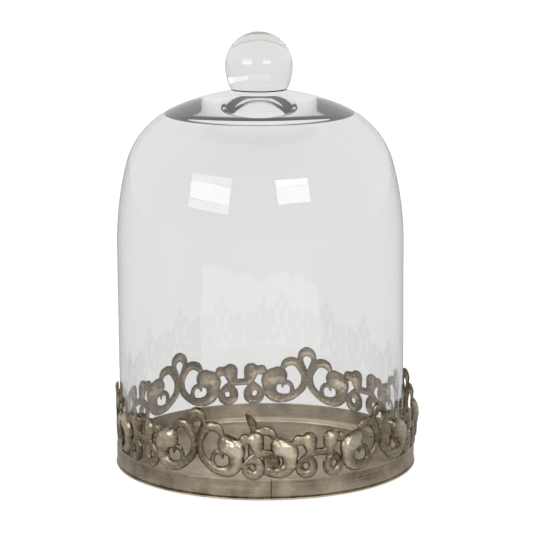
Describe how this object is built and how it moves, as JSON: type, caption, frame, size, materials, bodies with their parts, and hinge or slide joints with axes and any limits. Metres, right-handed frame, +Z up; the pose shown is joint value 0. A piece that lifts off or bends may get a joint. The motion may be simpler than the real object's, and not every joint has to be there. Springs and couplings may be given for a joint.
{
  "type": "bell jar on a metal tray",
  "caption": "Round clear glass bell jar with a solid ball knob, standing in a shallow metal tray with a pierced embossed scrollwork gallery. The jar lifts off.",
  "frame": {"origin": "centre of the tray's underside, on the surface it stands on", "axes": "+Z up along the tray's axis, -Y to the front, where the gallery's strips lap"},
  "size_m": [0.1884, 0.1897, 0.2684],
  "materials": {
    "aged_pewter": "antiqued warm grey sheet metal, satin, rubbed bright on the raised work and dark in the hollows",
    "tray_floor_metal": "satin brushed, warm grey",
    "solder": "bright soft solder, satin",
    "clear_glass": "clear, polished, slightly wavy blown glass"
  },
  "bodies": {
    "base": {"rim_band": "aged_pewter", "tray_floor": "tray_floor_metal", "gallery_back": "aged_pewter", "gallery_front_right": "aged_pewter", "gallery_front_left": "aged_pewter", "solder_tack_01": "solder", "solder_tack_02": "solder", "solder_tack_03": "solder", "solder_tack_04": "solder", "solder_tack_05": "solder", "solder_tack_06": "solder", "solder_tack_07": "solder", "solder_tack_08": "solder", "solder_tack_09": "solder", "solder_tack_10": "solder", "solder_tack_11": "solder", "solder_tack_12": "solder", "solder_tack_13": "solder", "solder_tack_14": "solder", "solder_tack_15": "solder", "solder_tack_16": "solder", "solder_tack_17": "solder", "solder_tack_18": "solder", "solder_tack_19": "solder", "solder_tack_20": "solder", "solder_tack_21": "solder", "solder_tack_22": "solder", "solder_tack_23": "solder", "solder_tack_24": "solder", "solder_tack_25": "solder", "solder_tack_26": "solder"},
    "bell": {"glass_bell": "clear_glass", "glass_knob": "clear_glass"}
  },
  "joints": [
    {"name": "bell_lift", "type": "slide", "parent": "base", "child": "bell", "axis": [0, 0, 1], "range_m": [0, 0.26]}
  ]
}
